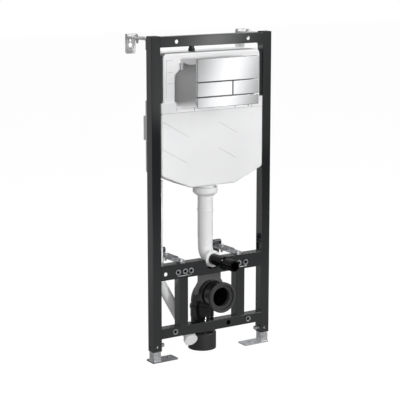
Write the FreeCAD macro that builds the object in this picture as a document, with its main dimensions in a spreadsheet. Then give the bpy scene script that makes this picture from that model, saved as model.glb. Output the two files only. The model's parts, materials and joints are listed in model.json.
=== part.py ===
import FreeCAD, Part
import os
from math import sin, tan

import Sketcher

# Floor-standing, wall-fixed carrier frame for a wall hung toilet pan.
# Millimetres. +Z up, +Y towards the wall, X across the frame.
# Origin: floor level, midway between the two floor anchor holes.

V = FreeCAD.Vector
doc = FreeCAD.newDocument("toilet_frame")
sheet = doc.addObject("Spreadsheet::Sheet", "dims")
sheet.Label = "dims"
row_no = [0]
value_of = {}


class Size:
    """A number with the text of the cell expression that gives it."""

    def __init__(self, text, number):
        self.text, self.number = text, float(number)

    def both(self, other, sign, number):
        return Size("(%s %s %s)" % (self.text, sign, other.text), number)

    def __add__(self, o):
        o = size(o)
        return self.both(o, "+", self.number + o.number)

    def __radd__(self, o):
        return size(o) + self

    def __sub__(self, o):
        o = size(o)
        return self.both(o, "-", self.number - o.number)

    def __rsub__(self, o):
        return size(o) - self

    def __mul__(self, o):
        o = size(o)
        return self.both(o, "*", self.number * o.number)

    def __rmul__(self, o):
        return size(o) * self

    def __truediv__(self, o):
        o = size(o)
        return self.both(o, "/", self.number / o.number)

    def __neg__(self):
        return Size("(0 - %s)" % self.text, -self.number)


def size(x):
    return x if isinstance(x, Size) else Size("%.6f" % float(x), x)


def dim(alias, number):
    """A driving dimension: one named cell of the sheet."""
    row_no[0] += 1
    n = row_no[0]
    sheet.set("A%d" % n, alias)
    sheet.set("B%d" % n, "%.4f" % number)
    sheet.setAlias("B%d" % n, alias)
    return Size("dims." + alias, number)


def bind(obj, prop, x):
    obj.setExpression(prop, size(x).text)


def place(obj, x, y, z):
    bind(obj, "Placement.Base.x", x)
    bind(obj, "Placement.Base.y", y)
    bind(obj, "Placement.Base.z", z)
    return obj


serial = [0]


def name_of(stem):
    serial[0] += 1
    return "%s_%03d" % (stem, serial[0])


def block(x0, x1, y0, y1, z0, z1):
    x0, x1, y0, y1, z0, z1 = [size(v) for v in (x0, x1, y0, y1, z0, z1)]
    b = doc.addObject("Part::Box", name_of("block"))
    bind(b, "Length", x1 - x0)
    bind(b, "Width", y1 - y0)
    bind(b, "Height", z1 - z0)
    return place(b, x0, y0, z0)


TURN = {
    "X": FreeCAD.Rotation(V(0, 1, 0), 90),
    "Y": FreeCAD.Rotation(V(1, 0, 0), -90),
    "Z": FreeCAD.Rotation(),
}


def rod(axis, r, length, x, y, z):
    """A cylinder from the point (x, y, z) in the positive direction of the axis."""
    c = doc.addObject("Part::Cylinder", name_of("rod"))
    c.Placement = FreeCAD.Placement(V(0, 0, 0), TURN[axis])
    bind(c, "Radius", r)
    bind(c, "Height", length)
    return place(c, x, y, z)


def hexagon(axis, r, length, x, y, z):
    c = doc.addObject("Part::Prism", name_of("hexagon"))
    c.Polygon = 6
    c.Placement = FreeCAD.Placement(V(0, 0, 0), TURN[axis])
    bind(c, "Circumradius", r)
    bind(c, "Height", length)
    return place(c, x, y, z)


def fuse(*shapes):
    if len(shapes) == 1:
        return shapes[0]
    f = doc.addObject("Part::MultiFuse", name_of("joined"))
    f.Shapes = list(shapes)
    f.Refine = True
    return f


def cut(base, *tools):
    c = doc.addObject("Part::Cut", name_of("cut"))
    c.Base = base
    c.Tool = fuse(*tools)
    c.Refine = True
    return c


def rounded(base, radius, pick):
    """A fillet on the edges for which pick(edge) is true."""
    doc.recompute()
    r = size(radius).number
    f = doc.addObject("Part::Fillet", name_of("rounded"))
    f.Base = base
    f.Edges = [
        (i + 1, r, r) for i, e in enumerate(base.Shape.Edges) if pick(e)
    ]
    if not f.Edges:
        raise SystemExit("no edge to round on " + base.Name)
    return f


def along(letter):
    k = "XYZ".index(letter)

    def test(e):
        if e.Curve.TypeId != "Part::GeomLine":
            return False
        d = e.Curve.Direction
        return abs((d.x, d.y, d.z)[k]) > 0.999

    return test


def plane_of(body, role):
    return [f for f in body.Origin.OriginFeatures if f.Role == role][0]


def profile(body, role, rings):
    """A sketch on one of the body's own planes. Each ring is a list of corner
    points, or a tuple (u, v, radius) for a circle; every corner is held by
    dimensions bound to the sheet."""
    sk = body.newObject("Sketcher::SketchObject", name_of("profile"))
    sk.AttachmentSupport = (plane_of(body, role), [""])
    sk.MapMode = "FlatFace"
    for ring in rings:
        if isinstance(ring, tuple):
            u, v, r = [size(q) for q in ring]
            g = sk.addGeometry(
                Part.Circle(V(u.number, v.number, 0), V(0, 0, 1), r.number), False
            )
            for kind, q in (("DistanceX", u), ("DistanceY", v)):
                k = sk.addConstraint(
                    Sketcher.Constraint(kind, -1, 1, g, 3, q.number)
                )
                sk.setExpression("Constraints[%d]" % k, q.text)
            k = sk.addConstraint(Sketcher.Constraint("Radius", g, r.number))
            sk.setExpression("Constraints[%d]" % k, r.text)
            continue
        pts = [(size(u), size(v)) for u, v in ring]
        n = len(pts)
        ids = []
        for i in range(n):
            a, b = pts[i], pts[(i + 1) % n]
            ids.append(
                sk.addGeometry(
                    Part.LineSegment(
                        V(a[0].number, a[1].number, 0),
                        V(b[0].number, b[1].number, 0),
                    ),
                    False,
                )
            )
        for i in range(n):
            sk.addConstraint(
                Sketcher.Constraint("Coincident", ids[i], 2, ids[(i + 1) % n], 1)
            )
        for i in range(n):
            for kind, q in (("DistanceX", pts[i][0]), ("DistanceY", pts[i][1])):
                k = sk.addConstraint(
                    Sketcher.Constraint(kind, -1, 1, ids[i], 1, q.number)
                )
                sk.setExpression("Constraints[%d]" % k, q.text)
    return sk


def padded(role, rings, length):
    """A body padded both ways from one of its planes."""
    body = doc.addObject("PartDesign::Body", name_of("body"))
    sk = profile(body, role, rings)
    pad = body.newObject("PartDesign::Pad", name_of("pad"))
    pad.Profile = sk
    pad.SideType = "Symmetric"
    bind(pad, "Length", length)
    body.Tip = pad
    return body


def turned(ring, up="Z"):
    """A body turned from a half section: (radius, height) corners about its
    own upright axis."""
    body = doc.addObject("PartDesign::Body", name_of("turned"))
    sk = profile(body, "XZ_Plane", [ring])
    rev = body.newObject("PartDesign::Revolution", name_of("revolve"))
    rev.Profile = sk
    rev.ReferenceAxis = (sk, ["V_Axis"])
    rev.Angle = 360
    body.Tip = rev
    if up == "-Y":
        body.Placement = FreeCAD.Placement(V(0, 0, 0), FreeCAD.Rotation(V(1, 0, 0), 90))
    return body


nodes = {}


def node(label, obj):
    obj.Label = label
    nodes[label] = obj
    return obj


def node_of(label, objs):
    """Several like pieces that don't touch, kept together."""
    c = doc.addObject("Part::Compound", name_of("group"))
    c.Links = list(objs)
    return node(label, c)


# ---------------------------------------------------------------- dimensions
width = dim("frame_width", 500)
tube = dim("tube_side", 36)
wall = dim("tube_wall", 2)
corner = dim("tube_corner", 1.5)
front = dim("front_plane", -25)
up_low = dim("upright_foot", 41)
up_top = dim("upright_head", 1152)
cap_t = dim("cap_height", 2.5)
back = front + tube
outer = width / 2
inner = outer - tube
up_x = outer - tube / 2
up_y = front + tube / 2

cross_low = dim("cross_low", 297)
cross_top = dim("cross_high", 351.5)
bottom_low = dim("bottom_low", 85)
bottom_top = dim("bottom_high", 121)
post_x = dim("post_centre", 122)

stud_z = dim("stud_level", 320)
pipe_r = dim("flush_pipe_r", 27.5)
pipe_y = dim("flush_pipe_y", 24.5)
spigot_z = dim("spigot_level", 351.5)
waste_z = dim("waste_level", 221.5)
waste_y = dim("waste_leg_y", 45)
waste_r = dim("waste_r", 41.5)
wall_y = dim("wall_plane", 150)

# ---------------------------------------------------------------- feet
foot_tube = dim("foot_tube", 31)
foot_wall = dim("foot_wall", 2.5)
foot_top = dim("foot_tube_top", 320)
sole_t = dim("sole_thickness", 5)
sole_l = dim("sole_length", 104)
sole_d = dim("sole_depth", 50)
anchor_x = dim("anchor_x", 179)
anchor_r = dim("anchor_r", 6)


def foot(side):
    h = foot_tube / 2
    x = up_x * side
    stem = rounded(
        block(x - h, x + h, up_y - h, up_y + h, sole_t, foot_top), 2, along("Z")
    )
    q = h - foot_wall
    hollow = block(x - q, x + q, up_y - q, up_y + q, sole_t, foot_top + 1)
    stem = cut(stem, hollow)
    if side < 0:
        sole = block(-outer, sole_l - outer, front, front + sole_d, 0, sole_t)
    else:
        sole = block(outer - sole_l, outer, front, front + sole_d, 0, sole_t)
    sole = rounded(sole, 4, along("Z"))
    hole = rod("Z", anchor_r, sole_t + 2, anchor_x * side, 0, -1)
    return cut(fuse(stem, sole), hole)


node("left_foot", foot(-1))
node("right_foot", foot(1))

# ---------------------------------------------------------------- uprights
clamp_z = dim("clamp_level", 58)
clamp_r = dim("clamp_r", 4)
sight_r = dim("sight_hole_r", 4.6)


def upright(side):
    x = up_x * side
    h = tube / 2
    o = rounded(
        block(x - h, x + h, front, back, up_low, up_top), corner, along("Z")
    )
    i = block(
        x - h + wall, x + h - wall, front + wall, back - wall, up_low - 1, up_top + 1
    )
    through_side = rod("X", clamp_r + 0.5, tube + 2, x - h - 1, up_y, clamp_z)
    sight = rod("Y", sight_r, wall + 4, x, front - 2, clamp_z)
    return cut(o, i, through_side, sight)


node("left_upright", upright(-1))
node("right_upright", upright(1))


def end_cap(side):
    x = up_x * side
    h = tube / 2
    lid = rounded(
        block(x - h, x + h, front, back, up_top, up_top + cap_t), corner, along("Z")
    )
    q = h - wall - 0.5
    plug = block(x - q, x + q, up_y - q, up_y + q, up_top - 12, up_top + 1)
    return fuse(lid, plug)


node_of("upright_caps", [end_cap(-1), end_cap(1)])


clamp_head = dim("clamp_head_x", 203)


def clamp_screw(side):
    # tip stops just short of the foot tube; the head stands off the inner face
    tip = up_x - foot_tube / 2 - 0.5
    x_in = clamp_head
    if side < 0:
        shank = rod("X", clamp_r, tip - x_in, -tip, up_y, clamp_z)
        head = hexagon("X", 7.5, 7, -x_in - 1, up_y, clamp_z)
        nut = hexagon("X", 7.5, 6, -inner, up_y, clamp_z)
    else:
        shank = rod("X", clamp_r, tip - x_in, x_in, up_y, clamp_z)
        head = hexagon("X", 7.5, 7, x_in - 6, up_y, clamp_z)
        nut = hexagon("X", 7.5, 6, inner - 6, up_y, clamp_z)
    return fuse(shank, head, nut)


node_of("foot_clamp_screws", [clamp_screw(-1), clamp_screw(1)])

# ---------------------------------------------------------------- rails
rail_hole = dim("rail_hole_r", 7)
rail_hole_x = dim("rail_hole_x", 149)


def rail(z0, z1):
    o = rounded(
        block(-inner, inner, front, back, z0, z1), corner, along("X")
    )
    i = block(-inner - 1, inner + 1, front + wall, back - wall, z0 + wall, z1 - wall)
    return o, i


def open_back(x0, x1, z0, z1):
    # the rail is a channel here, open to the wall between two turned-in lips
    return block(x0, x1, back - wall - 1, back + 1, z0, z1)


top_lip = dim("top_rail_lip", 5)
cross_lip = dim("cross_rail_lip", 8)
cross_lip_low = dim("cross_rail_lip_low", 4)
o, i = rail(up_top - tube, up_top)
zc = up_top - tube / 2
node(
    "top_rail",
    cut(
        o,
        i,
        open_back(-inner - 1, inner + 1, up_top - tube + top_lip, up_top - top_lip),
        rod("Y", rail_hole, tube + 4, -rail_hole_x, front - 2, zc),
        rod("Y", rail_hole, tube + 4, rail_hole_x, front - 2, zc),
    ),
)

# toilet studs: three threaded bushes a side behind a rounded slot
stud_a = dim("stud_half_180", 90)
stud_b = dim("stud_half_230", 115)
stud_c = dim("stud_half_290", 145)
bush_r = dim("bush_r", 10)
bush_hole = dim("bush_hole_r", 5.25)
slot_r = dim("slot_r", 13.5)
notch_r = dim("pipe_notch_r", 33)
service_x = dim("service_hole_x", 197)
notch_flat = dim("pipe_notch_flat", 19.5)
notch_low = dim("pipe_notch_low", 315.5)
ear_x = dim("notch_ear_x", 62)
ear_low = dim("notch_ear_low", 342)
back_web = dim("cross_back_web", 62)
arm_fix_y = dim("arm_fixing_y", 0)
fix_r = dim("arm_fixing_r", 4)

o, i = rail(cross_low, cross_top)
# the flush bend sits in a notch; a small window opens beside it in the front wall
back_z = (cross_low + cross_lip_low, cross_top - cross_lip)
tools = [
    i,
    open_back(-inner - 1, -back_web, *back_z),
    open_back(back_web, inner + 1, *back_z),
    rod("Y", notch_r, tube + 4, 0, front - 2, cross_top),
    block(-notch_flat, notch_flat, front - 2, front + wall + 1, notch_low, cross_top),
    block(0, ear_x, front - 2, front + wall + 1, ear_low, cross_top - wall - 0.5),
    rod("Z", fix_r + 0.5, 8, -post_x, arm_fix_y, cross_top - 5),
    rod("Z", fix_r + 0.5, 8, post_x, arm_fix_y, cross_top - 5),
]
for s in (-1, 1):
    a = stud_a * s
    c = stud_c * s
    tools.append(rod("Y", slot_r, wall + 3, a, front - 3, stud_z))
    tools.append(rod("Y", slot_r, wall + 3, c, front - 3, stud_z))
    lo, hi = (c, a) if s < 0 else (a, c)
    tools.append(
        block(lo, hi, front - 3, front + wall, stud_z - slot_r, stud_z + slot_r)
    )
tools.append(rod("Y", rail_hole, tube + 4, -service_x, front - 2, stud_z))
node("cross_rail", cut(o, *tools))


def stud_plate(s):
    # steel plate behind the slot that carries the bushes of one side
    a, c = stud_a * s, stud_c * s
    lo, hi = (c, a) if s < 0 else (a, c)
    p = block(
        lo - 17, hi + 17, front + wall, front + wall + 4, stud_z - 18, stud_z + 18
    )
    p = rounded(p, 6, along("Y"))
    return cut(
        p,
        *[
            rod("Y", bush_r - 1.5, 8, x * s, front + wall - 2, stud_z)
            for x in (stud_a, stud_b, stud_c)
        ]
    )


node_of("stud_plates", [stud_plate(-1), stud_plate(1)])


def bush(x, z, depth):
    # zinc-plated threaded bush: flange flush with the front, sleeve behind
    flange = rod("Y", bush_r, wall + 0.6, x, front - 0.6, z)
    sleeve = rod("Y", bush_r - 1.5, depth, x, front + 1, z)
    sink = doc.addObject("Part::Cone", name_of("sink"))
    sink.Placement = FreeCAD.Placement(V(0, 0, 0), TURN["Y"])
    bind(sink, "Radius1", bush_hole + 2)
    bind(sink, "Radius2", bush_hole)
    bind(sink, "Height", 3)
    place(sink, x, front - 0.6, z)
    return cut(
        fuse(flange, sleeve), rod("Y", bush_hole, depth + 10, x, front - 3, z), sink
    )


node_of(
    "stud_bushes",
    [bush(x * s, stud_z, 22) for s in (-1, 1) for x in (stud_a, stud_b, stud_c)],
)

low_x = dim("low_bush_x", 157.5)
low_z = dim("low_bush_z", 103.5)
cable_x = dim("cable_hole_x", 69.5)
o, i = rail(bottom_low, bottom_top)
tools = [i, rod("Z", waste_r + 2.5, 60, 0, waste_y, bottom_low - 10)]
for s in (-1, 1):
    tools.append(rod("Y", bush_r + 0.2, wall + 3, low_x * s, front - 3, low_z))
tools.append(rod("Y", rail_hole + 2, wall + 4, cable_x, front - 3, low_z))
node("bottom_rail", cut(o, *tools))
node_of("lower_bushes", [bush(low_x * s, low_z, 22) for s in (-1, 1)])


def post(s):
    h = tube / 2
    x = post_x * s
    o = rounded(
        block(x - h, x + h, front, back, bottom_top, cross_low), corner, along("Z")
    )
    i = block(
        x - h + wall,
        x + h - wall,
        front + wall,
        back - wall,
        bottom_top - 1,
        cross_low + 1,
    )
    return cut(o, i)


node("left_post", post(-1))
node("right_post", post(1))

# ---------------------------------------------------------------- wall fixings
arm_w = dim("arm_width", 40)
arm_t = dim("arm_thickness", 4)
brk_t = dim("bracket_sheet", 3)
hook_top = dim("hook_height_top", 10.5)
hook_mid = dim("hook_height_mid", 20.5)
hook_d = dim("hook_depth", 18)
leg_h = dim("leg_height", 70)
flange_y = dim("flange_front_y", 82)
flange_mid = dim("flange_front_mid", 45)
bolt_y = dim("bracket_bolt_y", 100)
arm_end = dim("arm_rear_y", 127)
bolt_r = dim("bracket_bolt_r", 4)
arm_slot_y = dim("arm_slot_y", 47)
top_arm_z = dim("top_arm_z", 1144)
keyhole_r = dim("wall_hole_r", 8.5)
keyhole_drop = dim("wall_hole_drop", 40)
leg_mid = dim("leg_height_mid", 86)
keyhole_mid = dim("wall_hole_drop_mid", 60)


def bracket(x, z, hook_h, foot_y, lipped):
    """Bent strip: leg flat on the wall, hooked head, foot lying on the arm.
    z is the top of the arm; a lipped foot ends in a narrow turned-up lip."""
    top = z + hook_h
    leg = leg_mid if lipped else leg_h
    drop = keyhole_mid if lipped else keyhole_drop
    ring = [
        (wall_y, top - leg),
        (wall_y, top),
        (wall_y - hook_d, top),
        (wall_y - hook_d, z + brk_t),
        (foot_y, z + brk_t),
        (foot_y, z),
        (wall_y - hook_d + brk_t, z),
        (wall_y - hook_d + brk_t, top - brk_t),
        (wall_y - brk_t, top - brk_t),
        (wall_y - brk_t, top - leg),
    ]
    body = padded("YZ_Plane", [ring], arm_w)
    place(body, x, 0, 0)
    doc.recompute()
    w, hy = wall_y.number, wall_y.number - hook_d.number
    t = top.number

    def bends(e):
        if not along("X")(e):
            return False
        p = e.CenterOfMass
        return (abs(p.y - w) < 0.1 or abs(p.y - hy) < 0.1) and abs(p.z - t) < 0.1

    b = rounded(body, 6, bends)
    b = rounded(
        b,
        8,
        lambda e: along("Y")(e)
        and abs(e.CenterOfMass.z - (t - leg.number)) < 0.1
        and e.Length < 4,
    )
    hole = rod("Y", keyhole_r, 8, x, wall_y - 6, top - drop)
    eye = rod("Y", 4.5, 8, x, wall_y - 6, top - 24)
    bolt = rod("Z", bolt_r + 0.5, 12, x, bolt_y, z - 4)
    if lipped:
        b = fuse(b, block(x - 15, x + 15, foot_y, foot_y + brk_t, z, z + 5.5))
    return cut(b, hole, eye, bolt)


def wall_arm(x, z, y0, rest_on_rail):
    h = arm_w / 2
    bar = block(x - h, x + h, y0, arm_end, z - arm_t, z)
    y_front = y0.number if isinstance(y0, Size) else y0
    bar = rounded(
        bar,
        19.5 if rest_on_rail else 3,
        lambda e: along("Z")(e)
        and (abs(e.CenterOfMass.y - y_front) < 0.1 or not rest_on_rail),
    )
    tools = [rod("Z", bolt_r + 0.5, 12, x, bolt_y, z - 8)]
    if rest_on_rail:
        tools.append(rod("Z", fix_r + 0.5, 12, x, arm_fix_y, z - 8))
    else:
        tools += [
            rod("Z", 5.5, 12, x - 11, arm_slot_y, z - 8),
            rod("Z", 5.5, 12, x + 11, arm_slot_y, z - 8),
            block(x - 11, x + 11, arm_slot_y - 5.5, arm_slot_y + 5.5, z - 8, z + 4),
        ]
        # turned-down tab welded to the back of the upright
        tab = block(x - 18, x + 18, y0, y0 + arm_t, z - 36, z - arm_t)
        bar = fuse(bar, tab)
    return cut(bar, *tools)


mid_arm_z = cross_top + arm_t
node("top_left_arm", wall_arm(-up_x, top_arm_z, back, False))
node("top_right_arm", wall_arm(up_x, top_arm_z, back, False))
node("mid_left_arm", wall_arm(-post_x, mid_arm_z, front + 4, True))
node("mid_right_arm", wall_arm(post_x, mid_arm_z, front + 4, True))
node("top_left_bracket", bracket(-up_x, top_arm_z, hook_top, flange_y, False))
node("top_right_bracket", bracket(up_x, top_arm_z, hook_top, flange_y, False))
node("mid_left_bracket", bracket(-post_x, mid_arm_z, hook_mid, flange_mid, True))
node("mid_right_bracket", bracket(post_x, mid_arm_z, hook_mid, flange_mid, True))


def arm_bolt(x, z):
    shank = rod("Z", bolt_r, 31, x, bolt_y, z - arm_t - 16)
    nut = hexagon("Z", 7.5, 6.5, x, bolt_y, z + brk_t)
    low = hexagon("Z", 7.5, 6.5, x, bolt_y, z - arm_t - 6.5)
    return fuse(shank, nut, low)


def rail_bolt(x):
    # holds the arm down on the rail: head above, nut under the rail's top wall
    shank = rod("Z", fix_r, 20, x, arm_fix_y, mid_arm_z - 18)
    head = hexagon("Z", 7.5, 5.5, x, arm_fix_y, mid_arm_z)
    low = hexagon("Z", 7.5, 6, x, arm_fix_y, cross_top - wall - 6)
    return fuse(shank, head, low)


node_of(
    "bracket_bolts",
    [
        rail_bolt(-post_x),
        rail_bolt(post_x),
        arm_bolt(-up_x, top_arm_z),
        arm_bolt(up_x, top_arm_z),
        arm_bolt(-post_x, mid_arm_z),
        arm_bolt(post_x, mid_arm_z),
    ],
)

# ---------------------------------------------------------------- cistern
tank_x = dim("tank_half_width", 212.5)
neck_x = dim("tank_upper_half", 202)
tank_front = dim("tank_front", -28)
tank_back = dim("tank_back", 81)
tank_low = dim("tank_low", 620)
tank_side_low = dim("tank_side_low", 670)
tank_low_x = dim("tank_low_half", 94)
shoulder_z = dim("tank_shoulder", 925)
tank_top = dim("tank_head", 1094)
seam_z = dim("tank_seam", 887)
open_x = dim("access_half_width", 152.5)
open_low = dim("access_low", 892)
open_top = dim("access_high", 1062)
open_step = dim("access_step", 1016)
open_neck = dim("access_neck", 132.5)
recess_y = dim("access_depth_y", 25)

lower = padded(
    "XZ_Plane",
    [
        [
            (-tank_x, tank_side_low),
            (-tank_low_x, tank_low),
            (tank_low_x, tank_low),
            (tank_x, tank_side_low),
            (tank_x, shoulder_z),
            (-tank_x, shoulder_z),
        ]
    ],
    tank_back - tank_front,
)
place(lower, 0, (tank_front + tank_back) / 2, 0)
doc.recompute()
lower = rounded(
    lower,
    14,
    lambda e: along("Y")(e) and e.CenterOfMass.z < tank_side_low.number + 1,
)
lower = rounded(
    lower,
    6,
    lambda e: abs(e.CenterOfMass.y - tank_front.number) < 0.01
    and e.CenterOfMass.z < shoulder_z.number - 1,
)
upper = block(
    -neck_x, neck_x, tank_front + 5, tank_back, shoulder_z - 20, tank_top
)
upper = rounded(
    upper, 18, lambda e: along("Y")(e) and e.CenterOfMass.z > tank_top.number - 1
)
upper = rounded(
    upper,
    6,
    lambda e: abs(e.CenterOfMass.y - tank_front.number - 5) < 0.01
    and e.CenterOfMass.z > shoulder_z.number + 1,
)
lug_l = block(-tank_x, -tank_x + 60, tank_back - 20, tank_back + 14, 785, 870)
lug_r = block(tank_x - 60, tank_x, tank_back - 20, tank_back + 14, 785, 870)
outlet_neck = rod("Z", 36, 30, 0, pipe_y, tank_low - 12)
tank = fuse(lower, upper, lug_l, lug_r, outlet_neck)


def access_ring(m):
    """Outline of the access recess, drawn in by m: wide below, stepped in at the
    corners, its upper edge lower in the middle."""
    half = [
        (open_x - m, open_low),
        (open_x - m, open_step - m),
        (open_neck - m, open_step + 20 - m),
        (open_neck - m, open_top - 2 - m),
        (size(122) - m, open_top - m),
        (size(94) - m, open_top - 10 - m),
    ]
    return half + [(-x, z) for x, z in reversed(half)]


recess = padded("XZ_Plane", [access_ring(size(0))], recess_y - tank_front + 10)
place(recess, 0, (recess_y + tank_front - 10) / 2, 0)
notch_l = rod("Y", 4, 60, -tank_x - 1, tank_front - 10, seam_z)
notch_r2 = rod("Y", 4, 60, tank_x + 1, tank_front - 10, seam_z)
pipe_mouth = rod("Z", pipe_r - 1, 30, 0, pipe_y, tank_low - 13)

# moulded lines: a seam round the front, panel lines beside the recess and the
# slanted creases of the lower half
frame_x = dim("panel_line_x", 189)
upper_y = tank_front + 5
round_r = dim("access_edge_r", 9)


def recess_sides(e):
    # upright and slanted edges of the recess on the upper front face
    p = e.CenterOfMass
    if abs(p.y - upper_y.number) > 0.01 or p.z < shoulder_z.number + 2:
        return False
    x = abs(p.x)
    a, b = open_neck.number, open_x.number
    return a - 0.1 < x < b + 0.1 and p.z < open_top.number - 2


tank = rounded(cut(tank, recess, notch_l, notch_r2, pipe_mouth), round_r, recess_sides)
lines = [
    block(-tank_x - 1, tank_x + 1, tank_front - 1, tank_front + 2.5, 888.2, 889.6)
]
for s in (-1, 1):
    for x1, z in ((189, 1071), (185, 1030), (185, 991)):
        lo, hi = (open_x + 2, size(x1)) if s > 0 else (size(-x1), -open_x - 2)
        lines.append(block(lo, hi, upper_y - 1, upper_y + 2, z - 0.7, z + 0.7))
    lines.append(
        block(frame_x * s - 0.6, frame_x * s + 0.6, upper_y - 1, upper_y + 1.2, 940, 1072)
    )


def crease(x0, z0, x1, z1):
    ring = [(x0, z0 - 0.8), (x1, z1 - 0.8), (x1, z1 + 0.8), (x0, z0 + 0.8)]
    return place(padded("XZ_Plane", [ring], 4.6), 0, tank_front, 0)


for run in (
    (-209, 862, -102, 801),
    (-209, 765, -106, 708),
    (14, 847, 24.5, 844.6),
    (24.5, 844.6, 102.5, 801),
    (14, 752, 24.5, 752),
    (24.5, 752, 98, 710),
):
    lines.append(crease(*run))
tank = cut(tank, *lines)
tabs = [
    block(x0, x1, upper_y - 1, upper_y + 15, 1035, 1071)
    for x0, x1 in ((-130, -121.6), (121.6, 130))
]
node("cistern_tank", fuse(tank, *tabs))

sill = padded(
    "YZ_Plane",
    [
        [
            (tank_front + 3, open_low),
            (tank_front + 3, open_low + 12),
            (recess_y - 4, open_low + 28),
            (recess_y - 4, open_low),
        ]
    ],
    open_x * 2 - 5,
)
node("access_sill", sill)
cover = padded("XZ_Plane", [access_ring(size(2))], 4)
node("access_cover", place(cover, 0, recess_y - 2, 0))

# dark steel strips that hold the tank between the uprights
hold_low = dim("tank_bracket_low", 930)
hold_top = dim("tank_bracket_high", 1088)


def tank_bracket(s):
    a = neck_x + 1
    b = inner
    if s < 0:
        return block(-b, -a, front + 4, back, hold_low, hold_top)
    return block(a, b, front + 4, back, hold_low, hold_top)


node("left_tank_bracket", tank_bracket(-1))
node("right_tank_bracket", tank_bracket(1))

valve_x = dim("inlet_valve_x", -58)
valve_y = dim("inlet_valve_y", 24)
stub = turned(
    [
        (6, 0),
        (9.5, 0),
        (9.5, 19),
        (10.5, 20),
        (10.5, 22),
        (9, 23.5),
        (6, 23.5),
    ]
)
place(stub, valve_x, valve_y, tank_top)
node(
    "inlet_valve",
    fuse(
        stub,
        cut(
            hexagon("Z", 13, 10, valve_x, valve_y, tank_top),
            rod("Z", 7, 12, valve_x, valve_y, tank_top - 1),
        ),
    ),
)

# ---------------------------------------------------------------- flush plate
plate_y = dim("plate_front", -122)
plate_t = dim("plate_thickness", 6)
plate_x = dim("plate_half_width", 127)
plate_low = dim("plate_low", 912)
plate_top = dim("plate_high", 1081)
gap = dim("plate_gap", 1.8)
gap_hi = dim("plate_gap_upper", 1000.4)
gap_lo = dim("plate_gap_lower", 949.2)
gap_x = dim("plate_gap_x", 18.3)
base_gap = dim("plate_base_gap", 12)
rod_r = dim("push_rod_r", 4)
y1 = plate_y + plate_t


def slab(x0, x1, z0, z1):
    return rounded(
        rounded(block(x0, x1, plate_y, y1, z0, z1), 2.2, along("Y")),
        1.8,
        lambda e: abs(e.CenterOfMass.y - plate_y.number) < 0.01,
    )


node("flush_plate_top", slab(-plate_x, plate_x, gap_hi + gap / 2, plate_top))
node("flush_plate_bottom", slab(-plate_x, plate_x, plate_low, gap_lo - gap / 2))
node(
    "full_flush_button",
    slab(-plate_x, gap_x - gap / 2, gap_lo + gap / 2, gap_hi - gap / 2),
)
node(
    "half_flush_button",
    slab(gap_x + gap / 2, plate_x, gap_lo + gap / 2, gap_hi - gap / 2),
)

push_a = dim("full_rod_x", -24)
push_b = dim("half_rod_x", 74)
push_z = dim("push_rod_z", 975)
fix_a = dim("fix_rod_a", -30)
fix_b = dim("fix_rod_b", 104)
fix_z = dim("fix_rod_z", 1035)
y2 = y1 + base_gap
base = fuse(
    block(-plate_x + 8, plate_x - 8, y2, y2 + 4, plate_low + 6, plate_top - 6),
    block(-plate_x + 8, plate_x - 8, y1, y2, gap_hi + 4, plate_top - 6),
    block(-plate_x + 8, plate_x - 8, y1, y2, plate_low + 6, gap_lo - 4),
)
base = cut(
    base,
    rod("Y", rod_r + 1.5, 12, push_a, y2 - 4, push_z),
    rod("Y", rod_r + 1.5, 12, push_b, y2 - 4, push_z),
)
node("flush_plate_base", base)
rod_end = recess_y - 4
node_of(
    "plate_fixing_rods",
    [
        rod("Y", rod_r, rod_end - y2 - 4, fix_a, y2 + 4, fix_z),
        rod("Y", rod_r, rod_end - y2 - 4, fix_b, y2 + 4, fix_z),
    ],
)
push_len = rod_end - 12 - y1
node("full_flush_rod", rod("Y", rod_r, push_len, push_a, y1, push_z))
node("half_flush_rod", rod("Y", rod_r, push_len, push_b, y1, push_z))

# ---------------------------------------------------------------- flush pipe
bend_r = dim("flush_bend_r", 40)
pipe_wall = dim("flush_pipe_wall", 3)
pipe_head = dim("flush_pipe_head", 607)
cuff_r = dim("cuff_r", 30.5)
turn_z = spigot_z + bend_r
turn_y = pipe_y - bend_r


def quarter(r_major, r_minor, y, z, start):
    """A quarter bend in the plane X = 0 about the centre (y, z)."""
    t = doc.addObject("Part::Torus", name_of("bend"))
    bind(t, "Radius1", r_major)
    bind(t, "Radius2", r_minor)
    t.Angle3 = 90
    t.Placement = FreeCAD.Placement(
        V(0, 0, 0), FreeCAD.Rotation(V(0, 1, 0), V(0, 0, 1), V(1, 0, 0))
        if start == 0
        else FreeCAD.Rotation(V(0, 0, -1), V(0, 1, 0), V(1, 0, 0)),
    )
    return place(t, 0, y, z)


split_z = dim("elbow_split", 420)
elbow_r = dim("elbow_r", 26.7)
elbow_bore = dim("elbow_bore_r", 22.4)
q = pipe_r - pipe_wall
node(
    "flush_pipe",
    cut(
        fuse(
            rod("Z", pipe_r, pipe_head - split_z, 0, pipe_y, split_z),
            rod("Z", pipe_r + 2.2, 3.5, 0, pipe_y, 522),
        ),
        rod("Z", q, pipe_head - split_z + 2, 0, pipe_y, split_z - 1),
    ),
)
# bend from the upright pipe to the level end; its neck plugs into the pipe
node(
    "flush_elbow",
    cut(
        fuse(
            rod("Z", elbow_r, split_z - turn_z, 0, pipe_y, turn_z),
            rod("Z", q - 0.1, 20, 0, pipe_y, split_z),
            quarter(bend_r, elbow_r, turn_y, turn_z, 1),
        ),
        rod("Z", elbow_bore, split_z - turn_z + 22, 0, pipe_y, turn_z),
        quarter(bend_r, elbow_bore, turn_y, turn_z, 1),
    ),
)

nut = turned(
    [
        (pipe_r + 0.3, 577),
        (31, 577),
        (38, 582),
        (44.5, 588),
        (45, 590),
        (45, 605),
        (43, 607.5),
        (pipe_r + 0.3, 607.5),
    ]
)
place(nut, 0, pipe_y, 0)
node("flush_pipe_nut", nut)

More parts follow.
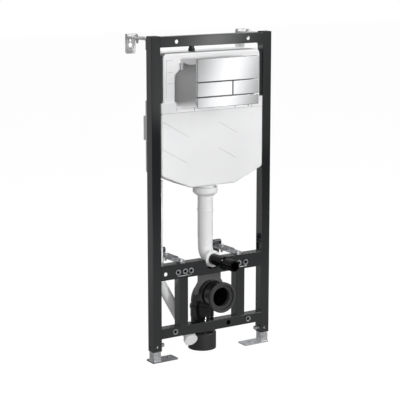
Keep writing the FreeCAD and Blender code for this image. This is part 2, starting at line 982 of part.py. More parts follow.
# white socket cuff on the level end of the pipe; its axis runs forward
cuff = turned(
    [
        (20.6, 0),
        (cuff_r - 2, 0),
        (cuff_r, 2),
        (cuff_r, 13),
        (cuff_r - 2, 15),
        (20.6, 15),
    ],
    "-Y",
)
place(cuff, 0, turn_y, spigot_z)
node("spigot_cuff", cuff)

spigot = turned(
    [
        (15, 6.5),
        (20.3, 6.5),
        (20.3, 92),
        (23, 93),
        (24.5, 94.5),
        (24.5, 106),
        (23, 107.5),
        (20.2, 108.5),
        (20.2, 150),
        (19.5, 152),
        (20.2, 154),
        (20.2, 160),
        (17.5, 164.5),
        (15, 164.5),
    ],
    "-Y",
)
place(spigot, 0, turn_y + 12, spigot_z)
node("flush_spigot", spigot)

# ---------------------------------------------------------------- waste
waste_bend_r = dim("waste_bend_r", 42.5)
waste_wall = dim("waste_wall", 4)
sock_y = dim("waste_mouth_y", -93.5)
sock_r = dim("waste_socket_r", 55.5)
out_r = dim("outlet_r", 51.5)
wt_y = waste_y - waste_bend_r
wt_z = waste_z - waste_bend_r


mouth_r = dim("waste_mouth_pipe_r", 45)
mouth_end = dim("waste_mouth_pipe_y", -28)
holder_y = dim("holder_y", -4)


def waste(r):
    level = rod("Y", r, wt_y - sock_y - 14, 0, sock_y + 14, waste_z)
    elbow = quarter(waste_bend_r, r, wt_y, wt_z, 0)
    leg = rod("Z", r, wt_z - 64, 0, waste_y, 64)
    return [level, elbow, leg]


rings = [
    rod("Y", mouth_r, mouth_end - sock_y - 14, 0, sock_y + 14, waste_z),
    rod("Y", 50, 8, 0, mouth_end, waste_z),
    rod("Y", 48, 3, 0, mouth_end + 13, waste_z),
    rod("Y", 47, 4, 0, holder_y - 4, waste_z),
    rod("Z", waste_r + 4.2, 11, 0, waste_y, 155),
    rod("Z", waste_r + 1.7, 33, 0, waste_y, 123),
]
bore_r = waste_r - waste_wall
node(
    "waste_bend",
    cut(
        fuse(*waste(waste_r), *rings),
        *waste(bore_r),
        rod("Y", bore_r, 20, 0, sock_y + 8, waste_z),
        rod("Z", bore_r, 20, 0, waste_y, 55),
    ),
)
seal = turned(
    [
        (35, 1),
        (36, 0),
        (mouth_r, 0),
        (mouth_r, -6),
        (mouth_r + 4, -6),
        (sock_r - 2, 0),
        (sock_r, 3),
        (sock_r, 12),
        (sock_r - 2.5, 14),
        (48, 14),
        (46, 12.5),
        (46, 4.5),
        (37, 4.5),
        (35, 3),
    ],
    "-Y",
)
place(seal, 0, sock_y + 14, waste_z)
node("waste_inlet_seal", seal)

outlet = turned(
    [
        (out_r - 4, 4),
        (out_r, 4),
        (out_r, 62),
        (out_r - 2.5, 66),
        (waste_r + 0.3, 66),
        (waste_r + 0.3, 63.5),
        (out_r - 4, 63.5),
    ]
)
place(outlet, 0, waste_y, 0)
node("waste_outlet", outlet)

holder_t = dim("holder_thickness", 4)
holder = padded(
    "XZ_Plane",
    [
        [
            (-64, waste_z),
            (-64, 243),
            (-49, 268),
            (-49, cross_low),
            (49, cross_low),
            (49, 268),
            (64, 243),
            (64, waste_z),
        ]
    ],
    holder_t,
)
place(holder, 0, holder_y + holder_t / 2, 0)
hole = rod("Y", waste_r + 1.5, 20, 0, holder_y - 8, waste_z)
node("bend_holder", cut(holder, hole))

# ---------------------------------------------------------------- service conduit
con_r = dim("conduit_r", 19)
con_bore = dim("conduit_bore_r", 17)
con_bend = dim("conduit_bend_r", 45)
con_pts = [
    V(dim("con_ax", -176).number, dim("con_ay", 65).number, dim("con_az", 640).number),
    V(dim("con_bx", -176).number, dim("con_by", 65).number, dim("con_bz", 285).number),
    V(dim("con_cx", -90).number, dim("con_cy", 66).number, dim("con_cz", 132).number),
    V(dim("con_dx", -69.2).number, dim("con_dy", 34.2).number, dim("con_dz", 68).number),
    V(dim("con_ex", -71.9).number, dim("con_ey", 15.2).number, dim("con_ez", 57.3).number),
]


def bent_path(pts, radius):
    """Straight runs joined by tangent arcs."""
    edges = []
    p = pts[0]
    for k in range(1, len(pts) - 1):
        a, b, c = pts[k - 1], pts[k], pts[k + 1]
        u = (a - b).normalize()
        w = (c - b).normalize()
        half = u.getAngle(w) / 2.0
        fillet_r = min(
            radius,
            0.45 * min((a - b).Length, (c - b).Length) * tan(half),
        )
        d = fillet_r / tan(half)
        s, e = b + u * d, b + w * d
        m = (u + w).normalize()
        centre = b + m * (fillet_r / sin(half))
        mid = centre - m * fillet_r
        edges.append(Part.LineSegment(p, s).toShape())
        edges.append(Part.Arc(s, mid, e).toShape())
        p = e
    edges.append(Part.LineSegment(p, pts[-1]).toShape())
    return Part.Wire(edges)


path = bent_path(con_pts, con_bend.number)


def swept(r):
    start = path.Vertexes[0].Point
    direction = con_pts[1] - con_pts[0]
    ring = Part.Wire([Part.Circle(start, direction, r).toShape()])
    return path.makePipeShell([ring], True, False)


solid = swept(con_r.number)
void = swept(con_bore.number)
conduit = doc.addObject("Part::Feature", "service_conduit")
conduit.Shape = solid.cut(void)
node("service_conduit", conduit)

cap = turned(
    [(0, 0.2), (19, 0.2), (24.8, 0.2), (24.8, 12), (24, 13), (0, 13)]
)
end_dir = (con_pts[-1] - con_pts[-2]).normalize()
cap.Placement = FreeCAD.Placement(
    con_pts[-1], FreeCAD.Rotation(V(0, 0, 1), end_dir)
)
node("conduit_cap", cap)

# clip that holds the conduit to the cross rail's upper back lip
clip_z = dim("clip_z", 322)
clip_h = dim("clip_height", 12)
cx, cy = con_pts[0].x, con_pts[0].y
clip = fuse(
    block(cx - 12, cx + 12, back, back + 2, clip_z, 350),
    block(cx - 6, cx + 6, back, cy - con_r, clip_z, clip_z + clip_h),
    rod("Z", con_r + 3, clip_h, cx, cy, clip_z),
)
node("conduit_clip", cut(clip, rod("Z", con_r + 0.05, clip_h + 2, cx, cy, clip_z - 1)))

# ---------------------------------------------------------------- write
doc.recompute()
bad = [
    o.Name for o in doc.Objects if "Invalid" in o.State or "Error" in o.State
]
if bad:
    raise SystemExit("failed: " + ", ".join(bad))
for label, obj in nodes.items():
    s = obj.Shape
    if s.isNull() or not s.isValid() or not s.Solids:
        raise SystemExit("bad shape: " + label)
os.makedirs("parts", exist_ok=True)
for label, obj in nodes.items():
    s = obj.Shape
    print("%-20s solids %d volume %.0f" % (label, len(s.Solids), s.Volume))
    s.exportStep("parts/%s.step" % label)
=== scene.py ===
import json
import math

import bmesh
import bpy
from mathutils import Matrix, Vector


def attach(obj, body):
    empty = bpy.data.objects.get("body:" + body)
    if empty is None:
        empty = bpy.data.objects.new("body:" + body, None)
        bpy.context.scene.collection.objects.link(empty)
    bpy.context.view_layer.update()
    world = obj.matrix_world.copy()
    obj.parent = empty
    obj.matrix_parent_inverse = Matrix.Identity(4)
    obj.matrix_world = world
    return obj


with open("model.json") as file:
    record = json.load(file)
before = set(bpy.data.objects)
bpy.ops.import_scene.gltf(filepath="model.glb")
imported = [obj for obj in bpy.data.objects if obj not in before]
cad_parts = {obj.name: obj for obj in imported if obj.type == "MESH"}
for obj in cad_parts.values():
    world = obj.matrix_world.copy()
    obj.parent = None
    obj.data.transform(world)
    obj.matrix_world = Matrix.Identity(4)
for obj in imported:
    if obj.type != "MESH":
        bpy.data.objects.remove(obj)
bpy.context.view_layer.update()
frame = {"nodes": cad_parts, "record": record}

NODES = frame["nodes"]
scene = bpy.context.scene
scene.view_settings.view_transform = "Standard"
scene.view_settings.look = "None"


# ---------------------------------------------------------------- shader help
class Shader:
    """A Principled material with a few helpers for procedural detail."""

    def __init__(self, name):
        self.mat = bpy.data.materials.new(name)
        self.mat.use_nodes = True
        self.nt = self.mat.node_tree
        self.bsdf = self.nt.nodes["Principled BSDF"]
        self.coord = self.nt.nodes.new("ShaderNodeTexCoord").outputs["Object"]

    def add(self, kind, **props):
        n = self.nt.nodes.new(kind)
        for k, v in props.items():
            setattr(n, k, v)
        return n

    def link(self, a, b):
        self.nt.links.new(a, b)

    def set(self, **values):
        for k, v in values.items():
            self.bsdf.inputs[k.replace("_", " ")].default_value = v
        return self

    def stretched(self, sx, sy, sz):
        m = self.add("ShaderNodeMapping")
        m.inputs["Scale"].default_value = (sx, sy, sz)
        self.link(self.coord, m.inputs["Vector"])
        return m.outputs["Vector"]

    def noise(self, scale, detail=3.0, rough=0.5, vec=None, distort=0.0):
        n = self.add("ShaderNodeTexNoise")
        n.inputs["Scale"].default_value = scale
        n.inputs["Detail"].default_value = detail
        n.inputs["Roughness"].default_value = rough
        n.inputs["Distortion"].default_value = distort
        self.link(vec or self.coord, n.inputs["Vector"])
        return n.outputs["Fac"]

    def voronoi(self, scale, feature="F1", vec=None, out="Distance"):
        n = self.add("ShaderNodeTexVoronoi", feature=feature)
        n.inputs["Scale"].default_value = scale
        self.link(vec or self.coord, n.inputs["Vector"])
        return n.outputs[out]

    def ramp(self, fac, stops, ease="LINEAR"):
        n = self.add("ShaderNodeValToRGB")
        n.color_ramp.interpolation = ease
        e = n.color_ramp.elements
        while len(e) < len(stops):
            e.new(0.5)
        for el, (p, c) in zip(e, stops):
            el.position = p
            el.color = (c, c, c, 1) if isinstance(c, (int, float)) else (*c, 1)
        self.link(fac, n.inputs["Fac"])
        return n.outputs["Color"]

    def scale_to(self, fac, lo, hi, frm=(0.0, 1.0)):
        n = self.add("ShaderNodeMapRange")
        n.inputs["From Min"].default_value = frm[0]
        n.inputs["From Max"].default_value = frm[1]
        n.inputs["To Min"].default_value = lo
        n.inputs["To Max"].default_value = hi
        self.link(fac, n.inputs["Value"])
        return n.outputs["Result"]

    def math(self, op, a, b):
        n = self.add("ShaderNodeMath", operation=op)
        for i, q in enumerate((a, b)):
            if isinstance(q, (int, float)):
                n.inputs[i].default_value = q
            else:
                self.link(q, n.inputs[i])
        return n.outputs[0]

    def mix(self, fac, a, b, blend="MIX"):
        n = self.add("ShaderNodeMix", data_type="RGBA", blend_type=blend)
        for sock, q in ((n.inputs[0], fac), (n.inputs[6], a), (n.inputs[7], b)):
            if isinstance(q, (int, float)):
                sock.default_value = q
            elif isinstance(q, tuple):
                sock.default_value = (*q, 1)
            else:
                self.link(q, sock)
        return n.outputs[2]

    def colour(self, sock):
        self.link(sock, self.bsdf.inputs["Base Color"])
        return self

    def rough(self, sock):
        self.link(sock, self.bsdf.inputs["Roughness"])
        return self

    def bump(self, height, strength, distance, before=None):
        n = self.add("ShaderNodeBump")
        n.inputs["Strength"].default_value = strength
        n.inputs["Distance"].default_value = distance
        self.link(height, n.inputs["Height"])
        if before is not None:
            self.link(before, n.inputs["Normal"])
        self.link(n.outputs["Normal"], self.bsdf.inputs["Normal"])
        return n.outputs["Normal"]


def paint(name, dark, light, lo=0.05, hi=0.08, ior=2.05):
    """Glossy powder coat: even tone, orange peel, faint specks."""
    s = Shader(name)
    s.set(IOR=ior)
    drift = s.noise(2.2, 2.0, 0.5)
    speck = s.noise(1400.0, 2.0, 0.6)
    c = s.mix(s.scale_to(drift, 0.0, 1.0, (0.3, 0.7)), dark, light)
    c = s.mix(s.scale_to(speck, 0.0, 0.03, (0.62, 0.75)), c, (0.05, 0.05, 0.052))
    s.colour(c)
    s.rough(s.scale_to(s.noise(420.0, 3.0, 0.6), lo, hi, (0.3, 0.7)))
    peel = s.noise(620.0, 2.0, 0.45)
    fine = s.noise(2600.0, 2.0, 0.5)
    n = s.bump(peel, 0.03, 0.0003)
    s.bump(fine, 0.02, 0.0001, n)
    return s.mat


def zinc(name, base=(0.79, 0.80, 0.82), lo=0.34, hi=0.48, metal=1.0, foot_plate_light=None):
    """Passivated zinc plate: cloudy bright patches and faint drawing marks."""
    s = Shader(name)
    s.set(Metallic=metal)
    cells = s.voronoi(95.0, "SMOOTH_F1", out="Distance")
    cloud = s.noise(55.0, 4.0, 0.6, distort=0.4)
    patch = s.math("MULTIPLY", cells, cloud)
    c = s.mix(
        s.scale_to(patch, 0.0, 1.0, (0.05, 0.38)),
        tuple(q * 0.80 for q in base),
        tuple(min(1, q * 1.16) for q in base),
    )
    stain = s.scale_to(s.noise(17.0, 3.0, 0.5), 0.0, 0.25, (0.55, 0.75))
    c = s.mix(stain, c, (0.55, 0.53, 0.46))
    if foot_plate_light is not None:
        # painted light and shade: the foot plate's colour is scaled by this factor against the tube, below one for
        # painted shade, above one for painted light
        at = s.add("ShaderNodeSeparateXYZ")
        s.link(s.coord, at.inputs[0])
        tube = s.scale_to(at.outputs["Z"], 0.0, 1.0, (0.0050, 0.0070))
        c = s.mix(tube, s.mix(1.0, c, (foot_plate_light, foot_plate_light, foot_plate_light * 1.02), "MULTIPLY"), c)
    s.colour(c)
    s.rough(s.scale_to(cloud, lo, hi, (0.3, 0.7)))
    drawn = s.noise(900.0, 2.0, 0.5, vec=s.stretched(0.05, 1.0, 1.0))
    n = s.bump(drawn, 0.10, 0.0001)
    s.bump(s.noise(240.0, 3.0, 0.5), 0.06, 0.0003, n)
    return s.mat


def moulded(name, dark, light, lo, hi, grain=0.06, spec=0.5, grime=None, scale=1.0):
    """Injection or blow moulded plastic: slow tone drift, fine texture."""
    s = Shader(name)
    s.set(Specular_IOR_Level=spec)
    drift = s.noise(6.0 * scale, 3.0, 0.5)
    c = s.mix(s.scale_to(drift, 0.0, 1.0, (0.35, 0.65)), dark, light)
    if grime:
        flow = s.noise(38.0 * scale, 4.0, 0.6, distort=0.6)
        c = s.mix(s.scale_to(flow, 0.0, 0.35, (0.58, 0.78)), c, grime)
    s.colour(c)
    s.rough(s.scale_to(s.noise(70.0 * scale, 4.0, 0.6), lo, hi, (0.3, 0.7)))
    n = s.bump(s.noise(34.0, 2.0, 0.4), grain, 0.0006)
    s.bump(s.noise(1500.0, 2.0, 0.6), grain * 0.8, 0.00012, n)
    return s.mat


def chrome(name):
    s = Shader(name)
    s.set(Metallic=1.0)
    veil = s.noise(14.0, 3.0, 0.5)
    s.colour(s.mix(veil, (0.78, 0.785, 0.80), (0.84, 0.845, 0.85)))
    s.rough(s.scale_to(s.noise(120.0, 4.0, 0.65), 0.07, 0.12, (0.3, 0.7)))
    s.bump(s.noise(24.0, 1.0, 0.4), 0.015, 0.0006)
    return s.mat


MATS = {
    "frame_paint": paint("charcoal_powder_coat", (0.0068, 0.0084, 0.0092), (0.0077, 0.0093, 0.0101)),
    "holder_paint": paint("grey_powder_coat", (0.092, 0.092, 0.093), (0.102, 0.102, 0.103), 0.36, 0.46, 1.5),
    "zinc_plate": zinc("zinc_plate"),
    "rod_steel": zinc("bright_steel", (0.60, 0.60, 0.61), 0.17, 0.27),
    "cap_plastic": moulded("black_cap_plastic", (0.010, 0.010, 0.011), (0.016, 0.016, 0.017), 0.38, 0.5),
    "tank_plastic": moulded("white_tank_plastic", (0.775, 0.778, 0.786), (0.805, 0.807, 0.813), 0.42, 0.52, 0.05, 0.4, (0.75, 0.755, 0.765)),
    "cover_plastic": moulded("grey_cover_plastic", (0.64, 0.64, 0.645), (0.67, 0.67, 0.675), 0.5, 0.6, 0.06, 0.3),
    "valve_plastic": moulded("black_valve_plastic", (0.010, 0.010, 0.010), (0.018, 0.018, 0.018), 0.28, 0.4),
    "plate_chrome": chrome("mirror_chrome"),
    "plate_back": moulded("grey_back_plastic", (0.20, 0.20, 0.205), (0.24, 0.24, 0.245), 0.45, 0.55),
    "pipe_plastic": moulded("white_pipe_plastic", (0.800, 0.802, 0.808), (0.830, 0.832, 0.835), 0.30, 0.40, 0.05, 0.45),
    "spigot_plastic": moulded("gloss_black_plastic", (0.0018, 0.0018, 0.0020), (0.0028, 0.0028, 0.0030), 0.12, 0.18, 0.04, 0.18),
    "bend_plastic": moulded("black_bend_plastic", (0.0040, 0.0039, 0.0038), (0.0070, 0.0068, 0.0064), 0.12, 0.20, 0.07, 0.65, (0.011, 0.010, 0.0095)),
    "outlet_plastic": moulded("dark_outlet_plastic", (0.022, 0.0215, 0.021), (0.030, 0.0292, 0.0288), 0.38, 0.5, 0.08, 0.5, (0.040, 0.038, 0.036)),
    "seal_rubber": moulded("seal_rubber", (0.040, 0.040, 0.0405), (0.052, 0.052, 0.0525), 0.46, 0.6, 0.1, 0.4),
    "conduit_plastic": moulded("white_conduit_plastic", (0.88, 0.88, 0.885), (0.91, 0.91, 0.91), 0.34, 0.44, 0.05, 0.4),
}

# painted light and shade: lit and shaded copies of the zinc plate, darker on the mid arms and darker still on the mid
# brackets for their shade under the cistern, lighter on the top brackets for a painted highlight
ARM_SHADE_ZINC = zinc("mid_arm_shade_zinc", (0.58, 0.585, 0.60), 0.24, 0.36)
BRACKET_SHADE_ZINC = zinc("mid_bracket_shade_zinc", (0.31, 0.315, 0.33), 0.24, 0.36)
TOP_HIGHLIGHT_ZINC = zinc("top_bracket_highlight_zinc", (0.93, 0.93, 0.94), 0.30, 0.42, 0.5)
PLATING = {
    # painted shade on the left foot plate, painted light on the right one
    "left_foot": zinc("left_foot_shade_zinc", metal=0.9, foot_plate_light=0.42),
    "right_foot": zinc("right_foot_light_zinc", metal=0.85, foot_plate_light=1.08),
    "top_left_bracket": TOP_HIGHLIGHT_ZINC,
    "top_right_bracket": TOP_HIGHLIGHT_ZINC,
    "mid_left_arm": ARM_SHADE_ZINC,
    "mid_right_arm": ARM_SHADE_ZINC,
    "mid_left_bracket": BRACKET_SHADE_ZINC,
    "mid_right_bracket": BRACKET_SHADE_ZINC,
}

slot_of = {}
for part in frame["record"]["subparts"]:
    slot_of[part["node"]] = part["material_slot"]
for name, obj in NODES.items():
    slot = slot_of.get(name)
    if slot is None:
        continue
    obj.data.materials.clear()
    obj.data.materials.append(PLATING.get(name, MATS[slot]))


# ---------------------------------------------------------------- fine detail
MM = 0.001


def piece(name, verts, faces, mat, body, smooth=40.0):
    """A mesh in millimetres that rides on a body."""
    me = bpy.data.meshes.new(name)
    me.from_pydata([(x * MM, y * MM, z * MM) for x, y, z in verts], [], faces)
    bm = bmesh.new()
    bm.from_mesh(me)
    bmesh.ops.recalc_face_normals(bm, faces=bm.faces)
    bm.to_mesh(me)
    bm.free()
    me.materials.append(mat)
    if smooth:
        for q in me.polygons:
            q.use_smooth = True
        me.set_sharp_from_angle(angle=math.radians(smooth))
    o = bpy.data.objects.new(name, me)
    scene.collection.objects.link(o)
    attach(o, body)
    return o


AXES = {
    "X": (Vector((0, 1, 0)), Vector((0, 0, 1)), Vector((1, 0, 0))),
    "Y": (Vector((0, 0, 1)), Vector((1, 0, 0)), Vector((0, 1, 0))),
    "Z": (Vector((1, 0, 0)), Vector((0, 1, 0)), Vector((0, 0, 1))),
}


class Build:
    """Collects vertices and faces of one piece."""

    def __init__(self):
        self.v, self.f = [], []

    def ring_sweep(self, rings, closed_ends=True):
        """Joins rings of equal length; each ring is a list of points."""
        n = len(rings[0])
        b = len(self.v)
        for r in rings:
            self.v += [tuple(q) for q in r]
        for k in range(len(rings) - 1):
            for i in range(n):
                j = (i + 1) % n
                self.f.append((b + k * n + i, b + k * n + j, b + (k + 1) * n + j, b + (k + 1) * n + i))
        if closed_ends:
            self.f.append(tuple(b + i for i in range(n)))
            self.f.append(tuple(b + (len(rings) - 1) * n + i for i in range(n)))
        return self

    def lathe(self, axis, at, profile, segs=32, loop=True):
        """Turns (radius, height) corners about an axis; loop closes the profile."""
        u, w, d = AXES[axis]
        at = Vector(at)
        n = len(profile)
        b = len(self.v)
        for k in range(segs):
            a = 2 * math.pi * k / segs
            c = u * math.cos(a) + w * math.sin(a)
            for r, h in profile:
                self.v.append(tuple(at + c * r + d * h))
        for k in range(segs):
            m = (k + 1) % segs
            for i in range(n if loop else n - 1):
                j = (i + 1) % n
                self.f.append((b + k * n + i, b + k * n + j, b + m * n + j, b + m * n + i))
        return self

    def thread(self, axis, at, root, crest, pitch, length, segs=16):
        """A helical ridge from root to crest radius."""
        u, w, d = AXES[axis]
        at = Vector(at)
        steps = int(segs * (length / pitch - 1))
        b = len(self.v)
        for k in range(steps + 1):
            a = 2 * math.pi * k / segs
            c = u * math.cos(a) + w * math.sin(a)
            h = pitch * 0.5 + pitch * k / segs
            fade = min(1.0, k / segs, (steps - k) / segs)
            top = root + (crest - root) * max(0.05, fade)
            for r, q in ((root, -0.46), (top, -0.06), (top, 0.06), (root, 0.46)):
                self.v.append(tuple(at + c * r + d * (h + q * pitch)))
        for k in range(steps):
            for i in range(3):
                x = b + k * 4 + i
                self.f.append((x, x + 1, x + 5, x + 4))
        return self

    def bead(self, a, b_, r, seed=0.0):
        """A rippled weld run between two points."""
        a, b_ = Vector(a), Vector(b_)
        d = (b_ - a).normalized()
        u = d.orthogonal().normalized()
        w = d.cross(u)
        n = max(6, int((b_ - a).length / 0.8))
        rings = []
        for k in range(n + 1):
            t = k / n
            end = min(1.0, 5 * t + 0.35, 5 * (1 - t) + 0.35)
            q = r * end * (1 + 0.10 * math.sin(k * 1.9 + seed) + 0.05 * math.sin(k * 0.7 + 2 * seed))
            c = a + (b_ - a) * t
            rings.append([c + (u * math.cos(x) + w * math.sin(x)) * q for x in [i * math.pi / 4 for i in range(8)]])
        return self.ring_sweep(rings)

    def box(self, x0, x1, y0, y1, z0, z1, c=0.6):
        """A box with a chamfer c on all edges of its Y faces."""
        rings = []
        for y, k in ((y0, c), (y0 + c, 0.0), (y1 - c, 0.0), (y1, c)):
            rings.append([(x0 + k, y, z0 + k), (x1 - k, y, z0 + k), (x1 - k, y, z1 - k), (x0 + k, y, z1 - k)])
        return self.ring_sweep(rings)

    def make(self, name, mat, body, slot=None, smooth=40.0):
        return piece(name, self.v, self.f, mat, body, smooth)


def thread_dark(name):
    """Threads cut in steel, coloured near black: painted shade for the dark bore."""
    s = Shader(name)
    s.set(Metallic=0.6, Roughness=0.5)
    c = s.mix(s.noise(300.0, 3.0, 0.6), (0.006, 0.006, 0.007), (0.016, 0.016, 0.017))
    s.colour(c)
    s.bump(s.noise(1800.0, 2.0, 0.5), 0.05, 0.0001)
    return s.mat


DARK_THREAD = thread_dark("bore_shade_thread")
ZINC, STEEL, PAINT = MATS["zinc_plate"], MATS["rod_steel"], MATS["frame_paint"]

# threads in the bushes, each in a near-black sleeve lining the bore; sleeve and thread colour are painted shade for the
# dark bore
for tag, xs, z in (("pan", (-145, -115, -90, 90, 115, 145), 320.0), ("low", (-157.5, 157.5), 103.5)):
    b = Build()
    for x in xs:
        b.thread("Y", (x, -23.5, z), 5.22, 4.55, 1.75, 21.0, 20)
        b.lathe("Y", (x, 0, z), [(5.2, -23.6), (5.2, -2.2), (5.05, -2.2), (5.05, -23.6)], 28)
    b.make(tag + "_bush_threads", DARK_THREAD, "frame", "zinc_plate")

# zinc strip along the lower edge of each stud slot: painted highlight for the lit lower edge of the slot
b = Build()
for s in (-1, 1):
    rings = []
    for k in range(41):
        t = k / 40.0
        x = s * (86.0 + 63.0 * t)
        r = 1.25 * min(1.0, 8 * t + 0.3, 8 * (1 - t) + 0.3)
        rings.append([(x, -25.3 + r * math.cos(q), 305.9 + r * math.sin(q)) for q in [i * math.pi / 4 for i in range(8)]])
    b.ring_sweep(rings)
b.make("stud_slot_edge_highlights", ZINC, "frame", "zinc_plate")

# weld runs of the tube joints
b = Build()
for s in (-1, 1):
    x = 214.0 * s
    for z in (1116.0, 351.5, 297.0, 121.0, 85.0):
        b.bead((x, -21, z), (x, 7.5, z), 1.7, z + s)
    for q in (-18.0, 18.0):
        for z in (297.0, 121.0):
            b.bead((122.0 * s + q, -21, z), (122.0 * s + q, 7.5, z), 1.6, z + q)
    for q in (-16.0, 16.0):
        b.bead((232.0 * s + q, 13.0, 1110.0), (232.0 * s + q, 13.0, 1138.0), 1.5, q)
b.make("frame_welds", PAINT, "frame", "frame_paint")
b = Build()
for s in (-1, 1):
    x, h = 232.0 * s, 15.5
    for p0, p1 in (((-h, -h), (h, -h)), ((h, -h), (h, h)), ((h, h), (-h, h)), ((-h, h), (-h, -h))):
        b.bead((x + p0[0], -7 + p0[1], 5.0), (x + p1[0], -7 + p1[1], 5.0), 1.7, p0[0] + s)
b.make("foot_welds", ZINC, "feet", "zinc_plate")

# washers under the nuts, threads on the bolts and screws
b, t = Build(), Build()
for x, z in ((-232, 1144.0), (232, 1144.0), (-122, 355.5), (122, 355.5)):
    b.lathe("Z", (x, 100, z), [(4.3, 3.0), (10.5, 3.0), (10.5, 4.4), (10.0, 4.8), (4.3, 4.8)], 36)
    b.lathe("Z", (x, 100, z), [(4.3, -4.0), (10.5, -4.0), (10.5, -5.4), (10.0, -5.8), (4.3, -5.8)], 36)
    t.thread("Z", (x, 100, z - 20.0), 4.0, 4.45, 1.25, 9.5)
    t.thread("Z", (x, 100, z + 8.2), 4.0, 4.45, 1.25, 2.6)
for x in (-122, 122):
    b.lathe("Z", (x, 0, 355.5), [(4.3, 0.0), (10.0, 0.0), (10.0, 1.3), (9.6, 1.6), (4.3, 1.6)], 36)
for s in (-1, 1):
    t.thread("X", (s * 206.0 - 1.9, -7, 58.0), 4.0, 4.45, 1.25, 3.8)
b.make("bolt_washers", ZINC, "frame", "zinc_plate")
t.make("bolt_threads", ZINC, "frame", "zinc_plate")

# threaded rods behind the flush plate
t = Build()
for x in (-30, 104):
    t.thread("Y", (x, -99.5, 1035.0), 4.0, 4.45, 1.25, 120.0)
t.make("fixing_rod_threads", STEEL, "frame", "rod_steel")
for body, x in (("full_flush", -24), ("half_flush", 74)):
    Build().thread("Y", (x, -96.0, 975.0), 4.0, 4.4, 1.25, 98.0).make(body + "_rod_threads", STEEL, body, "rod_steel")

# raised rim round the holder's arch
b = Build()
rings = []
for k in range(49):
    a = math.radians(38 + 104 * k / 48.0)
    cx, cz = 52.5 * math.cos(a), 221.5 + 52.5 * math.sin(a)
    rings.append([(cx + 1.7 * math.cos(q) * math.cos(a), -4.4 + 1.7 * math.sin(q), cz + 1.7 * math.cos(q) * math.sin(a)) for q in [i * math.pi / 4 for i in range(8)]])
b.ring_sweep(rings)
b.make("holder_rim", MATS["holder_paint"], "frame", "holder_paint")

# lighter edges on the rings of the waste bend: painted highlight for the glints on the ring edges
RING_GLINT = moulded("black_ring_glint", (0.050, 0.050, 0.050), (0.075, 0.075, 0.074), 0.14, 0.22, 0.03, 0.8)
b = Build()
for r, y in ((50.0, -28.0), (48.0, -15.0), (47.0, -8.0)):
    b.lathe("Y", (0, 0, 221.5), [(r - 1.0, y - 0.5), (r + 0.1, y - 0.5), (r + 0.5, y), (r + 0.5, y + 0.7), (r - 1.0, y + 0.7)], 72)
b.make("waste_ring_edges", RING_GLINT, "frame", "bend_plastic", 0)

# thin sealing lip that narrows into the waste mouth
b = Build()
b.lathe(
    "Y", (0, 0, 221.5),
    [(35.4, -80.6), (34.9, -76.0), (34.3, -71.5), (33.5, -70.9), (33.8, -72.4), (34.3, -76.0), (34.6, -80.6)],
    64,
)
b.make("waste_seal_lip", MATS["seal_rubber"], "frame", "seal_rubber", 0)

# bright zinc ring round the anchor holes: painted highlight for the bright rims of the holes
HOLE_GLINT = zinc("hole_rim_glint_zinc", (0.92, 0.92, 0.93), 0.24, 0.34)
b = Build()
for s in (-1, 1):
    b.lathe("Z", (179.0 * s, 0, 0), [(6.1, 4.6), (7.5, 4.6), (7.5, 5.1), (7.1, 5.5), (6.5, 5.5), (6.1, 5.1)])
b.make("anchor_hole_edges", HOLE_GLINT, "feet", "zinc_plate", 0)

# shade in the moulded lines of the cistern
SHADE = moulded("line_shade", (0.40, 0.40, 0.405), (0.46, 0.46, 0.465), 0.5, 0.6)
DEEP = moulded("deep_shade", (0.15, 0.15, 0.155), (0.20, 0.20, 0.205), 0.5, 0.6)
b = Build()
for s in (-1, 1):
    for x1, z in ((189, 1071), (185, 1030), (185, 991)):
        x0 = 162.0
        b.box(min(s * x0, s * x1), max(s * x0, s * x1), -22.8, -21.2, z - 0.66, z + 0.66, 0.1)
    b.box(189.0 * s - 0.56, 189.0 * s + 0.56, -22.8, -22.0, 941, 1070, 0.1)
b.box(-210, 210, -27.7, -25.8, 888.3, 889.5, 0.1)
for x0, z0, x1, z1 in ((-207, 861, -103, 801.6), (-207, 764, -107, 708.6), (25.5, 844.0, 101.5, 801.5), (25.5, 751.5, 97, 710.6)):
    rings = []
    for x, z in ((x0, z0), (x1, z1)):
        rings.append([(x, -27.7, z - 0.7), (x, -26.0, z - 0.7), (x, -26.0, z + 0.7), (x, -27.7, z + 0.7)])
    b.ring_sweep(rings)
b.make("cistern_line_shade", SHADE, "frame", "tank_plastic", 0)
# dark strips in the sill's gaps: painted shade
b = Build()
for x, y in ((-151.2, -25.2), (-76, -25.2), (93.5, -25.2), (164, -28.0)):
    b.box(x - 1.2, x + 1.2, y - 0.3, y + 1.0, 889.8, 902.5, 0.2)
b.make("sill_gap_shade", DEEP, "frame", "tank_plastic", 0)

# stiffening ribs moulded on the back of the cistern
b = Build()
for z in (700, 760, 820, 960, 1020, 1070):
    x = 176 if z > 925 else 186
    b.box(-x, x, 80.5, 83.6, z - 3, z + 3, 1.0)
for x in (-120, -60, 0, 60, 120):
    b.box(x - 3, x + 3, 80.5, 83.2, 655, 880, 1.0)
    b.box(x - 3, x + 3, 80.5, 83.2, 935, 1078, 1.0)
b.make("cistern_back_ribs", MATS["tank_plastic"], "frame", "tank_plastic")

# ---------------------------------------------------------------- stage
def stage_mesh(name, verts, faces, mat):
    me = bpy.data.meshes.new(name)
    me.from_pydata(verts, [], faces)
    me.update()
    o = bpy.data.objects.new(name, me)
    scene.collection.objects.link(o)
    me.materials.append(mat)
    return o


